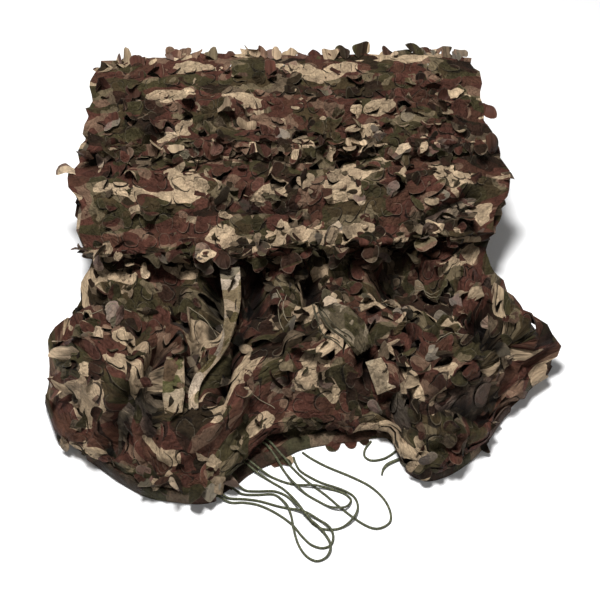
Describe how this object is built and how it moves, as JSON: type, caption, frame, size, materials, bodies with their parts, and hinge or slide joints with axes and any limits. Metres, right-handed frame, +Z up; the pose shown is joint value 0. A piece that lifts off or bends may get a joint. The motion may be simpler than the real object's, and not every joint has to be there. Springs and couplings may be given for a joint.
{
  "type": "camouflage net",
  "caption": "Leaf-cut woodland camouflage net folded back and forth into a low pile, its front corners spilling out and its tie cords lying in loops in front.",
  "frame": {"origin": "on the flat underside of the lowest layer, below the middle of the folded pile", "axes": "+Z up, -Y towards the front, where the apron and the cord loops lie, +X to the right seen from the front"},
  "size_m": [0.6679, 0.7569, 0.1894],
  "materials": {
    "net_cloth": "matte printed polyester, woodland camouflage",
    "tape_cloth": "matte printed polyester tape",
    "cord_braid": "matte braided cord"
  },
  "bodies": {
    "root": {"camouflage_net": "net_cloth", "edge_tape": "tape_cloth", "cord_loop_1": "cord_braid", "cord_loop_2": "cord_braid", "cord_loop_3": "cord_braid", "cord_loop_4": "cord_braid", "cord_loop_5": "cord_braid", "cord_loop_right": "cord_braid", "tie_tail": "cord_braid"}
  },
  "joints": []
}
